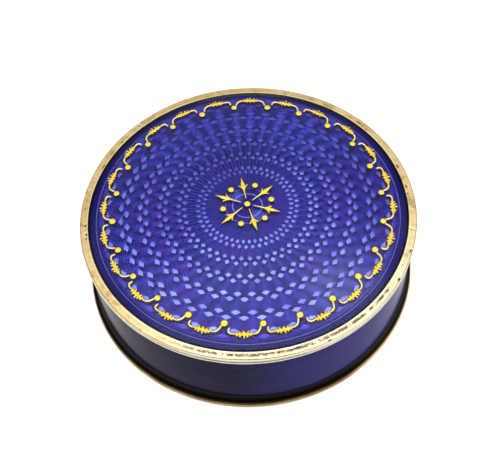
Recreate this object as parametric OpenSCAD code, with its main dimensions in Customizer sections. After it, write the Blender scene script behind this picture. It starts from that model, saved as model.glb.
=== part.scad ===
// Round pill box: an enamelled drum on a flared gilt foot, closed by a pull-off lid whose
// translucent enamel lies over an engine-turned ground and carries gold foil ornament.
// Millimetres, +Z up, origin at the centre of the face the box stands on, front towards -Y.

/* [Drum] */
// Outer radius of the lid's rim and of the ring around the drum's mouth
rim_r = 24; // [20:0.5:30]
// Height of the foot, from the table to the bottom edge of the wall enamel
foot_h = 2.1; // [1.8:0.1:4]
// Height of the enamelled wall
wall_h = 10; // [6:0.5:20]
// How far the foot's lip stands out beyond the rim
foot_flare = 0.4; // [0.2:0.1:1]
// How far the wall enamel lies inside the rim
wall_recess = 0.4; // [0.2:0.1:0.6]
// Height of the ring around the drum's mouth
mouth_h = 0.5; // [0.3:0.1:1]
// Thickness of the floor plate
floor_t = 1; // [0.6:0.1:1.4]
// Thickness of the metal tube inside the wall enamel
tube_t = 0.6; // [0.4:0.1:1]
// Thickness of the wall enamel
wall_enamel_t = 0.4; // [0.2:0.1:0.6]

/* [Lid] */
// Height of the lid's rim
rim_h = 0.9; // [0.8:0.1:1.5]
// Width of the rim's flat top
rim_w = 1.26; // [1:0.02:2]
// Gap between the lid's rim and the ring it lands on
seam = 0.05; // [0.03:0.01:0.1]
// Width of the enamel's sloped margin
margin_w = 1.24; // [0.8:0.02:2]
// Rise of the enamel's sloped margin
margin_rise = 0.55; // [0.3:0.05:1]
// Rise of the dome inside the margin
dome_rise = 0.87; // [0.5:0.01:2]
// Thickness of the enamel over the engine-turned ground
enamel_t = 0.35; // [0.25:0.05:0.4]
// Thickness of the lining disc under the lid
lining_t = 0.25; // [0.2:0.05:0.3]
// How deep the lid's sleeve reaches into the drum
sleeve_h = 3.5; // [2:0.1:5]
// Wall thickness of the sleeve
sleeve_t = 0.5; // [0.3:0.05:0.8]
// Radial clearance of the sleeve in the drum's tube
sleeve_gap = 0.05; // [0.02:0.01:0.1]

/* [Foil ornament] */
// Thickness of the foil pieces
foil_t = 0.1; // [0.05:0.01:0.15]
// Number of swags in the garland
swag_n = 24; // [16:1:24]
// How far inside the dome's edge the garland's beads lie
bead_inset = 2.3; // [2:0.1:4]
// Diameter of a garland bead
bead_d = 1; // [0.6:0.1:1.2]
// How far inside the dome's edge the leaf clusters lie
leaf_inset = 0.9; // [0.7:0.1:1.2]
// Length of a star arrow
arrow_len = 3.95; // [3:0.05:6]
// Inner end of a star arrow, from the centre
arrow_start = 0.95; // [0.8:0.05:1.5]
// Radius of the circle that the star's dots lie on
dot_circle_r = 3.5; // [3:0.1:6]
// Diameter of a star dot
dot_d = 0.95; // [0.6:0.05:1.2]
// Diameter of the dot at the star's centre
centre_d = 1; // [0.6:0.1:1.4]

/* [Hidden] */
$fn = 128;
star_n = 6;
// The star was set by hand: each arrow and dot is a few degrees off a regular six-fold star.
arrow_angles = [102, 43, 344, 288, 224, 161];
dot_angles = [73, 14, 316, 257, 194, 133];
swag_names = [for (i = [1:swag_n]) str("swag_", i < 10 ? "0" : "", i)];
arrow_names = [for (i = [1:star_n]) str("star_arrow_", i)];
dot_names = [for (i = [1:star_n]) str("star_dot_", i)];
// How far a cut runs past the face that it cuts
past = 1;

gilt = [0.83, 0.69, 0.42];
foil_gold = [0.95, 0.72, 0.2];
cobalt = [0.16, 0.14, 0.55];
navy = [0.12, 0.11, 0.26];

// Drum
foot_r = rim_r + foot_flare;
wall_r = rim_r - wall_recess;
tube_r = wall_r - wall_enamel_t;
bore_r = tube_r - tube_t;
// The tube stands on a ledge of the foot, and the floor plate is let in inside it.
ledge_w = 0.4;
floor_r = bore_r - ledge_w;
lip_h = 0.95;
lip_round = 0.3;
mouth_z = foot_h + wall_h;
drum_h = mouth_z + mouth_h;

// Lid
lid_z = drum_h + seam;
rim_top = lid_z + rim_h;
enamel_r = rim_r - rim_w;
crease_r = enamel_r - margin_w;
crease_z = rim_top + margin_rise;
dome_r = (crease_r * crease_r / dome_rise + dome_rise) / 2;
dome_steps = 8;
edge_round = 0.25;
plaque_t = rim_h - enamel_t - lining_t;
sleeve_r = bore_r - sleeve_gap;

// Foil
bead_circle_r = crease_r - bead_inset;
leaf_circle_r = crease_r - leaf_inset;
stem_start_w = 0.2;
stem_end_w = 0.28;

// Height of the dome's outer surface at a radius
function dome_z(r) = crease_z + sqrt(dome_r * dome_r - r * r) - (dome_r - dome_rise);

// Points of the dome's line from the axis out to its crease, moved down by drop
function dome_line(drop) =
    [for (i = [0:dome_steps]) let (r = crease_r * i / dome_steps) [r, dome_z(r) - drop]];

// Points of the enamel's outer line, from the axis to the rim, moved down by drop
function lid_line(drop) = concat(dome_line(drop), [[enamel_r, rim_top - drop]]);

function reversed(points) = [for (i = [len(points) - 1:-1:0]) points[i]];

// Points of a quarter circle of radius r about c, from angle a to a + 90
function quarter(c, r, a) = [for (t = [0:30:90]) c + r * [cos(a + t), sin(a + t)]];

// Foot: a thin rounded lip, then a hollow moulding that sweeps in and up to the wall
module foot_ring() {
    cove_w = foot_r - lip_round - wall_r;
    cove_h = foot_h - lip_h;
    cove = [for (a = [75:-15:0]) [wall_r + cove_w * (1 - cos(a)), foot_h - cove_h * sin(a)]];
    color(gilt)
    rotate_extrude()
    polygon(concat(
        [[floor_r, 0]],
        quarter([foot_r - lip_round, lip_round], lip_round, -90),
        quarter([foot_r - lip_round, lip_h - lip_round], lip_round, 0),
        cove,
        [[floor_r, foot_h]]
    ));
}

// Floor plate, flush with the top of the foot and raised clear of the table
module floor_plate() {
    color(gilt)
    translate([0, 0, foot_h - floor_t])
    cylinder(h = floor_t, r = floor_r);
}

module tube(height, outer, inner) {
    difference() {
        cylinder(h = height, r = outer);
        translate([0, 0, -past]) cylinder(h = height + 2 * past, r = inner);
    }
}

// Metal tube that carries the enamel and guides the lid's sleeve
module wall_tube() {
    color(gilt)
    translate([0, 0, foot_h])
    tube(wall_h, tube_r, bore_r);
}

module wall_enamel() {
    color(navy)
    translate([0, 0, foot_h])
    tube(wall_h, wall_r, tube_r);
}

// Bead-edged ring that closes the top of the drum
module mouth_ring() {
    half = mouth_h / 2;
    color(gilt)
    translate([0, 0, mouth_z])
    rotate_extrude()
    polygon(concat(
        [[bore_r, 0]],
        [for (t = [-90:30:90]) [rim_r - half + half * cos(t), half + half * sin(t)]],
        [[bore_r, mouth_h]]
    ));
}

// Lid's rim, rounded where the hand takes hold of it
module lid_rim() {
    color(gilt)
    rotate_extrude()
    polygon(concat(
        [[enamel_r, lid_z]],
        quarter([rim_r - edge_round, lid_z + edge_round], edge_round, -90),
        quarter([rim_r - edge_round, rim_top - edge_round], edge_round, 0),
        [[enamel_r, rim_top]]
    ));
}

// Engine-turned ground: a domed sheet that follows the enamel, an enamel's thickness below it
module lid_plaque() {
    color(cobalt)
    rotate_extrude()
    polygon(concat(lid_line(enamel_t), reversed(lid_line(enamel_t + plaque_t))));
}

module lid_enamel() {
    color(cobalt)
    rotate_extrude()
    polygon(concat(lid_line(0), reversed(lid_line(enamel_t))));
}

// Lining disc that closes the underside of the lid
module lid_backplate() {
    color(gilt)
    translate([0, 0, lid_z])
    cylinder(h = lining_t, r = enamel_r);
}

// Sleeve that plugs into the drum
module lid_sleeve() {
    color(gilt)
    translate([0, 0, lid_z - sleeve_h])
    tube(sleeve_h, sleeve_r, sleeve_r - sleeve_t);
}

// Cuts a flat outline out of foil that lies on the dome
module on_dome() {
    color(foil_gold)
    intersection() {
        translate([0, 0, rim_top]) linear_extrude(margin_rise + dome_rise + past) children();
        rotate_extrude() polygon(concat(dome_line(0), reversed(dome_line(-foil_t))));
    }
}

module centre_dot() {
    on_dome() circle(d = centre_d, $fn = 32);
}

// Arrow along +X: a slim stem, two swept barbs and a leaf-shaped blade
module star_arrow(angle) {
    side = [[0, 0.09], [0.37, 0.14], [0.5, 0.34], [0.65, 0.72], [0.62, 0.34], [0.65, 0.22], [0.75, 0.3]];
    upper = [for (p = side) [arrow_start + arrow_len * p[0], p[1]]];
    lower = [for (p = reversed(upper)) [p[0], -p[1]]];
    tip = [[arrow_start + arrow_len, 0]];
    on_dome() rotate(angle) polygon(concat(upper, tip, lower));
}

module star_dot(angle) {
    on_dome() rotate(angle) translate([dot_circle_r, 0]) circle(d = dot_d, $fn = 32);
}

// The garland's beads hang half a swag either side of each leaf cluster
module border_beads() {
    half_swag = 180 / swag_n;
    for (i = [0:swag_n - 1])
        on_dome()
        rotate(360 * i / swag_n + half_swag)
        translate([bead_circle_r, 0])
        circle(d = bead_d, $fn = 32);
}

// Points of one edge of a stem that curves from a to c, drawn towards b; edge is 1 or -1
function stem_edge(a, b, c, edge) =
    [for (i = [0:5]) let (
        t = i / 5,
        along = (1 - t) * (b - a) + t * (c - b),
        across = [-along[1], along[0]] / norm(along),
        middle = (1 - t) * (1 - t) * a + 2 * t * (1 - t) * b + t * t * c,
        width = (1 - t) * stem_start_w + t * stem_end_w
    ) middle + edge * width / 2 * across];

// Swag across +X: a cluster of pointed leaves, with a scroll stem curving away to each bead
module swag_outline() {
    reach = bead_circle_r * sin(180 / swag_n);
    top = leaf_circle_r;
    leaf_outer = [[0.6, 0], [0.42, 0.16], [0.22, 0.2], [0.3, 0.5], [0.16, 0.55], [0.14, 0.9]];
    leaf_inner = [[-0.18, 0.9], [-0.22, 0.5], [-0.34, 0.25], [-0.3, 0]];
    start = [top - 0.05, 1.2];
    bend = [top - 0.12, reach - 0.2];
    end = [bead_circle_r + bead_d / 2 + 0.02, reach * 1.01];
    side = concat(
        [for (p = leaf_outer) [top, 0] + p],
        stem_edge(start, bend, end, -1),
        reversed(stem_edge(start, bend, end, 1)),
        [for (p = leaf_inner) [top, 0] + p]
    );
    polygon(concat(side, [for (p = reversed(side)) [p[0], -p[1]]]));
}

module swag(i) {
    on_dome() rotate(360 * i / swag_n) swag_outline();
}

foot_ring();
floor_plate();
wall_tube();
wall_enamel();
mouth_ring();
lid_rim();
lid_plaque();
lid_enamel();
lid_backplate();
lid_sleeve();
centre_dot();
border_beads();
for (i = [0:star_n - 1]) star_arrow(arrow_angles[i]);
for (i = [0:star_n - 1]) star_dot(dot_angles[i]);
for (i = [0:swag_n - 1]) swag(i);
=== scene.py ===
import bpy
import bmesh
import math
import random
from mathutils import Matrix, Vector, noise


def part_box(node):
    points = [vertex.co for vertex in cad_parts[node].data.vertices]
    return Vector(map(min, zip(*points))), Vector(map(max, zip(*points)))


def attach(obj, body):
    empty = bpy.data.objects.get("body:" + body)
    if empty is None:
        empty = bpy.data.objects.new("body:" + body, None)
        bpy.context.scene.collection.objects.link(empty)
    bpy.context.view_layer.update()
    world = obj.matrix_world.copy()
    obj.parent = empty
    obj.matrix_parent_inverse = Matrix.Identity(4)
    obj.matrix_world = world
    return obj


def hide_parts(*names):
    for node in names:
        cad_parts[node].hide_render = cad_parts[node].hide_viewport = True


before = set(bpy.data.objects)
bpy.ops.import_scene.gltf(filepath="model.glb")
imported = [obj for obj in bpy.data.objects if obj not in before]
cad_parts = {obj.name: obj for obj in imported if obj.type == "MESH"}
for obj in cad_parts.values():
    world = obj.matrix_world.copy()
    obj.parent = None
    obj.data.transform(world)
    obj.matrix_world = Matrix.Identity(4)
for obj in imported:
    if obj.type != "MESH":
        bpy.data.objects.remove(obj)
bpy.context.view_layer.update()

# Everything below is written in millimetres and scaled once, when a mesh is made.
MM = 0.001


def top(node):
    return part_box(node)[1].z / MM


def bottom(node):
    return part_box(node)[0].z / MM


def radius(node):
    low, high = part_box(node)
    return min(-low.x, -low.y, high.x, high.y) / MM


# ---------------------------------------------------------------- places, from the CAD frame
FOOT_R = radius("foot_ring")
FOOT_TOP = top("foot_ring")
WALL_R = radius("wall_enamel")
WALL_TOP = top("wall_enamel")
TUBE_R = radius("wall_tube")
MOUTH_R = radius("mouth_ring")
MOUTH_BOTTOM = bottom("mouth_ring")
MOUTH_TOP = top("mouth_ring")
FLOOR_R = radius("floor_plate")
FLOOR_BOTTOM = bottom("floor_plate")
RIM_R = radius("lid_rim")
RIM_BOTTOM = bottom("lid_rim")
RIM_TOP = top("lid_rim")
ENAMEL_R = radius("lid_enamel")
APEX = top("lid_enamel")
LINING_TOP = top("lid_backplate")
SLEEVE_R = radius("lid_sleeve")
SLEEVE_BOTTOM = bottom("lid_sleeve")

# ---------------------------------------------------------------- sizes the frame doesn't give
TUBE_T = 0.6
SLEEVE_T = 0.5
LIP_H = 0.95
LIP_ROUND = 0.3
MARGIN_W = 1.24
MARGIN_RISE = 0.55
ENAMEL_T = 0.35
FOIL_T = 0.1
SWAGS = 24
BEAD_R = 0.5
BEAD_CIRCLE_R = 19.2
LEAF_CIRCLE_R = 20.6
ARROW_START = 0.95
ARROW_LEN = 3.95

BORE_R = TUBE_R - TUBE_T
CREASE_R = ENAMEL_R - MARGIN_W
CREASE_Z = RIM_TOP + MARGIN_RISE
DOME_RISE = APEX - CREASE_Z
DOME_R = (CREASE_R**2 / DOME_RISE + DOME_RISE) / 2

# Engine turning: pairs of lozenge rows, each pair a period further out than the last
LOZENGES = 48
PAIR_R = 6.25
PAIR_PERIOD = 2.76
PAIR_GAP = 0.82
LOZENGE_HALF_H = 0.42
LOZENGE_HALF_W = 0.31
LOZENGE_EDGE = 0.09
LOZENGE_LIFT = 0.008
LOZENGE_TILT = 0.012
SUNBURST_START_R = 3.2
LOZENGES_START_R = 5.5
FIELD_END_R = CREASE_R - 0.3
FLUTE_MID = (PAIR_GAP + PAIR_PERIOD) / 2 / PAIR_PERIOD
FLUTE_LEAN = math.radians(6)
FLUTE_DEPTH = 0.014
FLUTE_FADE = 5.0
# How full a lozenge's outline is on its inner and its outer side: 1 is a straight-sided diamond
FAN_IN = 1.2
FAN_OUT = 0.88
CUT_PITCH = 0.31
CUT_SWAY = 0.56
CUT_DEPTH = 0.004
THREAD_PITCH = 0.37
# Radius of each engraved ring inside the star, and how strongly the highlight painted on it shows
HUB_RINGS = ((2.1, 0.95), (3.1, 0.45))
HUB_R = 3.1
# How far off centre the highlight painted along the crease lies
CREASE_HIGHLIGHT_SHIFT = 0.2
# Centre and radius of the reflection painted on the lid's front right
REFLECTION_AT = (13.0, -13.5, 0.0)
REFLECTION_R = 8.0
# Directions about +Z in which the ground changes; all but DEEP_ANGLE say where light or shade is
# painted on it
BOW_ANGLE = math.radians(-48)
DEEP_ANGLE = math.radians(5)
NEAR_ANGLE = math.radians(190)
BURST_ANGLE = math.radians(145)
FAR_ANGLE = math.radians(95)

# Wear on the rim: pits as (angle in degrees, radius, half-length round the rim, half-width)
RIM_PITS = (
    (179.3, 23.5, 0.1, 0.1), (-173.3, 23.2, 0.2, 0.14), (-171.5, 23.1, 0.1, 0.08),
    (-169.4, 23.1, 0.22, 0.14), (-167.7, 23.2, 0.16, 0.1), (146.3, 23.3, 0.17, 0.12),
    (143.2, 23.3, 0.1, 0.07), (159.3, 23.1, 0.5, 0.09), (136.5, 23.5, 0.2, 0.1),
    (45.2, 23.4, 0.5, 0.09), (41.0, 23.2, 0.25, 0.06), (20.2, 23.2, 0.4, 0.09),
    (10.7, 23.2, 0.35, 0.09), (7.3, 23.1, 0.2, 0.08), (-17.1, 23.7, 0.25, 0.14),
    (-29.3, 23.8, 0.3, 0.16), (-62.0, 23.85, 0.3, 0.1), (-72.0, 23.15, 0.3, 0.06),
    (-104.5, 23.3, 0.12, 0.1),
)
PIT_DEPTH = 0.06
SOLDER_ANGLE = -7.6
# Directions about +Z: of the highlight painted on the rim's front, of the shadow painted under it, of
# the scuffs, of the highlight painted on the foot's lip, and of the light painted on the wall
FRONT_HIGHLIGHT_ANGLE = math.radians(-68)
SHADOW_ANGLE = math.radians(-91)
SCUFF_ANGLE = math.radians(-77)
LIP_HIGHLIGHT_ANGLE = math.radians(-20)
WALL_LIT_ANGLE = math.radians(-35)

# Foil: heights of a strip's section at shares of its half-width, and of a bead's at shares of
# its gold radius. Both have a dark skirt, which shows as an outline: partly the foil's darkened edge,
# partly painted shadow.
STRIP_SECTION = ((-1.0, 0.03), (-0.72, 0.6), (0.0, 0.9), (0.72, 0.6), (1.0, 0.03))
BEAD_SECTION = ((1.0, 0.03), (0.93, 0.6), (0.76, 1.0), (0.5, 0.9), (0.3, 0.72))
BEAD_H = 0.95 * FOIL_T
BEAD_SKIRT = 0.06
STRIP_SKIRT = 0.09
FULL_STRIP = 0.09
STAR_POINTS = 6
# Material slots of every foil piece
GOLD, STEM, EDGE = 0, 1, 2
# Where each leaf of a swag starts, which way it points (1 is outwards) and how far it reaches
SWAG_LEAVES = (
    (0.46, 1, 0.46), (0.88, 1, 0.28), (0.02, -1, 0.42), (0.5, -1, 0.42), (0.9, -1, 0.26),
)

# Light tent: a bright cap overhead, a dimmer wall, and a shaded patch behind the camera
CAP_CENTRE = Vector((0.12, -0.16, 0.97)).normalized()
CAP_EDGE = (0.68, 0.8)
CAP_LEVEL = 1.4
TENT_EDGE = (0.36, 0.56)
TENT_LEVEL = (0.18, 0.78)
FRONT = Vector((0.0, -0.92, 0.38)).normalized()
FRONT_EDGE = (0.72, 0.93)
FRONT_SHADE = 0.1
FLOOR_GLOW = 0.75
FLOOR_GLOW_R = (100.0, 420.0)
FLOOR_HALF = 3000.0

# Camera, solved from the outlines of the rim, the seam and the foot: azimuth, elevation and
# roll in degrees, then the point it aims at and its distance from there
CAMERA_ANGLES = (4.2, 54.84, -3.46)
CAMERA_AIM = Vector((0.49, -5.27, 14.3))
CAMERA_DISTANCE = 133.5
CAMERA_LENS = 69.2


def dome_z(r):
    """Height of the enamel's outer surface at a radius, on the dome and on its sloped margin."""
    if r > CREASE_R:
        return CREASE_Z - MARGIN_RISE * (r - CREASE_R) / MARGIN_W
    return CREASE_Z + math.sqrt(DOME_R**2 - r**2) - (DOME_R - DOME_RISE)


# ---------------------------------------------------------------- mesh helpers
def finish_mesh(name, verts, faces, body, nodes, materials, sharp=40, face_materials=None):
    mesh = bpy.data.meshes.new(name)
    mesh.from_pydata([(x * MM, y * MM, z * MM) for x, y, z in verts], [], faces)
    piece = bpy.data.objects.new(name, mesh)
    bpy.context.scene.collection.objects.link(piece)
    for material in materials:
        mesh.materials.append(material)
    if face_materials:
        mesh.polygons.foreach_set("material_index", face_materials)
    bm = bmesh.new()
    bm.from_mesh(mesh)
    bmesh.ops.recalc_face_normals(bm, faces=bm.faces)
    bm.to_mesh(mesh)
    bm.free()
    mesh.shade_smooth()
    mesh.set_sharp_from_angle(angle=math.radians(sharp))
    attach(piece, body)
    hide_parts(*nodes)
    return piece


def lathe(name, profile, segments, body, nodes, materials, shape=None, sharp=40, band=None):
    """Turns a closed profile of (radius, height) points. shape(r, z, angle) may move a point,
    and band(i) gives the material index of the strip from profile point i to the next."""
    verts, rings = [], []
    for r, z in profile:
        if r < 1e-6:
            rings.append([len(verts)] * segments)
            verts.append((0.0, 0.0, z))
            continue
        ring = []
        for k in range(segments):
            a = math.tau * k / segments
            rr, zz = shape(r, z, a) if shape else (r, z)
            ring.append(len(verts))
            verts.append((rr * math.cos(a), rr * math.sin(a), zz))
        rings.append(ring)
    faces, indices = [], []
    for i, ring in enumerate(rings):
        after = rings[(i + 1) % len(rings)]
        if ring[0] == ring[-1] and after[0] == after[-1]:
            continue
        for k in range(segments):
            j = (k + 1) % segments
            corners = [ring[k], ring[j], after[j], after[k]]
            face = list(dict.fromkeys(corners))
            faces.append(face)
            indices.append(band(i) if band else 0)
    return finish_mesh(name, verts, faces, body, nodes, materials, sharp, indices)


def arc(cx, cz, r, start, end, steps):
    """Points of an arc about (cx, cz), from one angle to another, in degrees."""
    angles = [math.radians(start + (end - start) * i / steps) for i in range(steps + 1)]
    return [(cx + r * math.cos(a), cz + r * math.sin(a)) for a in angles]


def run(a, b, steps):
    """Points between a and b, without the ends."""
    return [
        (a[0] + (b[0] - a[0]) * i / steps, a[1] + (b[1] - a[1]) * i / steps)
        for i in range(1, steps)
    ]


def ripple(angle, z, scale, depth):
    """A slow unevenness that joins up round the ring."""
    return depth * noise.noise(Vector((scale * math.cos(angle), scale * math.sin(angle), z)))


# ---------------------------------------------------------------- material helpers
class Nodes:
    """A node tree, with short calls for its nodes."""

    def __init__(self, owner):
        owner.use_nodes = True
        self.tree = owner.node_tree
        self.tree.nodes.clear()

    def node(self, kind, inputs=(), **settings):
        made = self.tree.nodes.new(kind)
        for key, value in settings.items():
            setattr(made, key, value)
        for key, value in dict(inputs).items():
            self.put(made.inputs[key], value)
        return made

    def put(self, socket, value):
        if isinstance(value, bpy.types.NodeSocket):
            self.tree.links.new(value, socket)
        else:
            socket.default_value = value

    def math(self, operation, *values, clamp=False):
        made = self.node("ShaderNodeMath", dict(enumerate(values)), operation=operation)
        made.use_clamp = clamp
        return made.outputs[0]

    def ramp(self, value, low, high, start=0.0, end=1.0):
        """start at low, end at high, smooth between."""
        inputs = {
            "Value": value, "From Min": low, "From Max": high, "To Min": start, "To Max": end
        }
        made = self.node("ShaderNodeMapRange", inputs, interpolation_type="SMOOTHSTEP")
        return made.outputs[0]

    def vector(self, operation, a, b):
        """The single number that an operation on two vectors gives."""
        made = self.node("ShaderNodeVectorMath", {0: a, 1: b}, operation=operation)
        return made.outputs["Value"]

    def mix(self, factor, a, b):
        made = self.node("ShaderNodeMix", data_type="RGBA")
        self.put(made.inputs[0], factor)
        self.put(made.inputs[6], a)
        self.put(made.inputs[7], b)
        return made.outputs[2]

    def noise(self, vector, scale, detail=3.0, rough=0.55):
        inputs = {"Vector": vector, "Scale": scale, "Detail": detail, "Roughness": rough}
        return self.node("ShaderNodeTexNoise", inputs).outputs["Fac"]

    def times(self, first, *others):
        product = first
        for value in others:
            product = self.math("MULTIPLY", product, value)
        return product


class Shader(Nodes):
    """A material, with measures in millimetres taken from its piece."""

    def __init__(self, name):
        self.material = bpy.data.materials.new(name)
        super().__init__(self.material)

    def coat(self, tone, over, amount, share=1.0):
        """Lays a colour over a tone, by an amount from 0 to 1 of which only a share counts."""
        return self.mix(self.times(amount, share), tone, colour(*over))

    def facing(self, direction, low, high):
        """1 on the side towards a direction about +Z, 0 on the other, with limits as cosines."""
        turn = self.math("SUBTRACT", self.angle, direction)
        return self.ramp(self.math("COSINE", turn), low, high)

    def away_from(self, place):
        """Millimetres from a place, measured in plan."""
        return self.vector("DISTANCE", self.flat, place)

    def ring(self, r, half, blur):
        """1 on a circle of a given radius and 0 beyond its half-width, softened inwards by blur."""
        off = self.math("ABSOLUTE", self.math("SUBTRACT", self.r, r))
        return self.ramp(off, half, half - blur)

    def bump(self, height, depth_mm, strength=1.0):
        inputs = {"Height": height, "Distance": depth_mm * MM, "Strength": strength}
        return self.node("ShaderNodeBump", inputs).outputs[0]

    def place(self):
        """Where a point is, in millimetres: at, flat (in plan), z, r and the angle about +Z."""
        coordinates = self.node("ShaderNodeTexCoord").outputs["Object"]
        scaled = self.node("ShaderNodeVectorMath", {0: coordinates, 3: 1 / MM}, operation="SCALE")
        self.at = scaled.outputs[0]
        x, y, self.z = self.node("ShaderNodeSeparateXYZ", {0: self.at}).outputs
        squares = [self.math("POWER", value, 2.0) for value in (x, y)]
        self.r = self.math("SQRT", self.math("ADD", *squares))
        self.angle = self.math("ARCTAN2", y, x)
        self.flat = self.node("ShaderNodeCombineXYZ", {0: x, 1: y}).outputs[0]
        return self

    def turned(self, around, across):
        """Coordinates for marks left by a lathe: slow round the ring, quick across it."""
        inputs = {
            0: self.math("MULTIPLY", self.math("COSINE", self.angle), around),
            1: self.math("MULTIPLY", self.math("SINE", self.angle), around),
            2: self.math("MULTIPLY", self.math("ADD", self.r, self.z), across),
        }
        return self.node("ShaderNodeCombineXYZ", inputs).outputs[0]

    def surface(self, **inputs):
        shader = self.node("ShaderNodeBsdfPrincipled")
        for key, value in inputs.items():
            self.put(shader.inputs[key.replace("_", " ")], value)
        self.output(shader.outputs[0])
        return shader

    def output(self, closure):
        self.node("ShaderNodeOutputMaterial", {"Surface": closure})


def colour(r, g, b):
    return (r, g, b, 1.0)


# ---------------------------------------------------------------- materials
# Colours of worn gilding, and of the highlights and shade painted on it
PIT_BROWN = (0.09, 0.06, 0.035)
FRONT_HIGHLIGHT_SILVER = (0.84, 0.78, 0.55)
INNER_EDGE_HIGHLIGHT = (0.9, 0.76, 0.46)
SCORE_BROWN = (0.06, 0.04, 0.025)
UNDER_RIM_SHADOW = (0.03, 0.018, 0.01)
SCUFF_BROWN = (0.22, 0.14, 0.07)
STAIN_BROWN = (0.3, 0.19, 0.09)
BEZEL_SHADOW = (0.006, 0.005, 0.008)
DEEP_PIT = (0.035, 0.022, 0.012)
LIP_HIGHLIGHT_GOLD = (1.0, 0.72, 0.36)
HOLLOW_SHADE_BLACK = (0.003, 0.002, 0.002)


def gilt_material(name, base, worn, dirt, pits, roughness, wear=None):
    """Old gilding: warm and uneven, with turning marks and pits. wear(s, tone, pit, clouds,
    marks) adds the wear and painted light that only one ring has, and returns the new tone and pit."""
    s = Shader(name).place()
    clouds = s.noise(s.at, 0.35, 4.0, 0.6)
    grain = s.noise(s.turned(9.0, 14.0), 1.0, 4.0, 0.7)
    marks = s.noise(s.at, 5.0, 5.0, 0.75)
    blotches = s.noise(s.at, 1.3, 3.0, 0.6)
    tone = s.mix(s.ramp(clouds, 0.35, 0.7), colour(*base), colour(*worn))
    tone = s.coat(tone, dirt, s.ramp(blotches, 0.5, 0.68), 0.3)
    tone = s.coat(tone, dirt, s.ramp(marks, 0.45, 0.75), 0.7)
    cells = s.node("ShaderNodeTexVoronoi", {"Vector": s.at, "Scale": 1.1, "Randomness": 1.0})
    where = s.ramp(s.noise(s.at, 0.16, 2.0), 0.5, 0.62)
    size = s.times(s.ramp(marks, 0.42, 0.75), 0.16)
    pit = s.times(s.math("LESS_THAN", cells.outputs["Distance"], size), where, pits)
    tone = s.coat(tone, PIT_BROWN, pit, 0.85)
    if wear:
        tone, pit = wear(s, tone, pit, clouds, marks)
    relief = s.math("ADD", s.times(grain, 0.5), s.times(marks, 0.5))
    relief = s.math("SUBTRACT", relief, s.times(pit, 1.5))
    gloss = s.math("MULTIPLY_ADD", marks, 0.25, roughness - 0.1)
    gloss = s.math("ADD", gloss, s.times(pit, 0.4), clamp=True)
    s.surface(
        Base_Color=tone, Metallic=1.0, Roughness=gloss, Normal=s.bump(relief, 0.012, 0.6)
    )
    return s.material


def rim_wear_and_light(s, tone, pit, clouds, marks):
    """Painted highlights: silvery at the front and pale along the inner edge. Painted shadow under the
    rim at the front and along its edge by the enamel. Scored and scuffed at the front, stained and
    pitted elsewhere.
    """
    # Painted highlight: the front of the rim is laid over unevenly in pale silver.
    front_highlight = s.times(s.facing(FRONT_HIGHLIGHT_ANGLE, 0.35, 0.9), s.math("MULTIPLY_ADD", clouds, 0.5, 0.45))
    tone = s.coat(tone, FRONT_HIGHLIGHT_SILVER, front_highlight)
    # Painted highlight: a pale band along the rim's inner edge.
    tone = s.coat(tone, INNER_EDGE_HIGHLIGHT, s.ramp(s.r, ENAMEL_R + 0.42, ENAMEL_R + 0.2), 0.6)

    handled = s.facing(FRONT_HIGHLIGHT_ANGLE, 0.6, 0.9)
    broken = s.ramp(s.noise(s.at, 0.8, 5.0, 0.75), 0.46, 0.56)
    score = s.times(s.ring(ENAMEL_R + 0.62, 0.28, 0.18), broken)
    tone = s.coat(tone, SCORE_BROWN, score, s.math("MULTIPLY_ADD", handled, 0.82, 0.14))
    # Painted shadow: the foot of the rim is laid dark brown at the front.
    under = s.ramp(s.z, RIM_BOTTOM + 0.32, RIM_BOTTOM + 0.22)
    tone = s.coat(tone, UNDER_RIM_SHADOW, s.times(under, s.facing(SHADOW_ANGLE, 0.84, 0.94)), 0.93)

    inner = s.ramp(s.r, ENAMEL_R + 0.22, ENAMEL_R + 0.4)
    outer = s.ramp(s.r, ENAMEL_R + 1.0, ENAMEL_R + 0.7)
    torn = s.ramp(s.noise(s.at, 1.1, 6.0, 0.75), 0.47, 0.55)
    torn = s.times(torn, inner, outer, s.facing(SCUFF_ANGLE, 0.84, 0.93))
    tone = s.coat(tone, SCUFF_BROWN, torn, 0.75)
    stain = s.ramp(s.noise(s.at, 0.55, 3.0, 0.65), 0.52, 0.7)
    stain = s.times(stain, s.math("SUBTRACT", 1.0, handled))
    tone = s.coat(tone, STAIN_BROWN, stain, 0.6)
    tone = s.coat(tone, BEZEL_SHADOW, s.ramp(s.r, ENAMEL_R + 0.16, ENAMEL_R + 0.08))

    for degrees, r, half_l, half_w in RIM_PITS:
        angle = math.radians(degrees)
        across = s.math("DIVIDE", s.math("SUBTRACT", s.r, r), half_w)
        along = s.away_from((r * math.cos(angle), r * math.sin(angle), 0.0))
        along = s.math("DIVIDE", along, half_l)
        squares = s.math("ADD", s.math("POWER", across, 2.0), s.math("POWER", along, 2.0))
        far = s.math("ADD", s.math("SQRT", squares), s.math("MULTIPLY_ADD", marks, 1.6, -0.8))
        hole = s.ramp(far, 1.25, 0.7)
        pit = s.math("MAXIMUM", pit, hole)
        tone = s.coat(tone, DEEP_PIT, hole, 0.93)
    return tone, pit


def foot_painted_light(s, tone, pit, clouds, marks):
    """Painted shade: the hollow above the lip is laid nearly black. Painted highlight: the lip itself
    is lighter gold on the right.
    """
    # Painted highlight: the lip is laid lighter gold on the right.
    tone = s.coat(tone, LIP_HIGHLIGHT_GOLD, s.facing(LIP_HIGHLIGHT_ANGLE, 0.8, 0.97))
    # Painted shade: the hollow above the lip is laid nearly black.
    hollow_shade = s.times(s.ramp(s.z, LIP_H - 0.12, LIP_H), s.ramp(s.z, FOOT_TOP + 0.15, FOOT_TOP))
    return s.coat(tone, HOLLOW_SHADE_BLACK, hollow_shade, 0.99), pit


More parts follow.
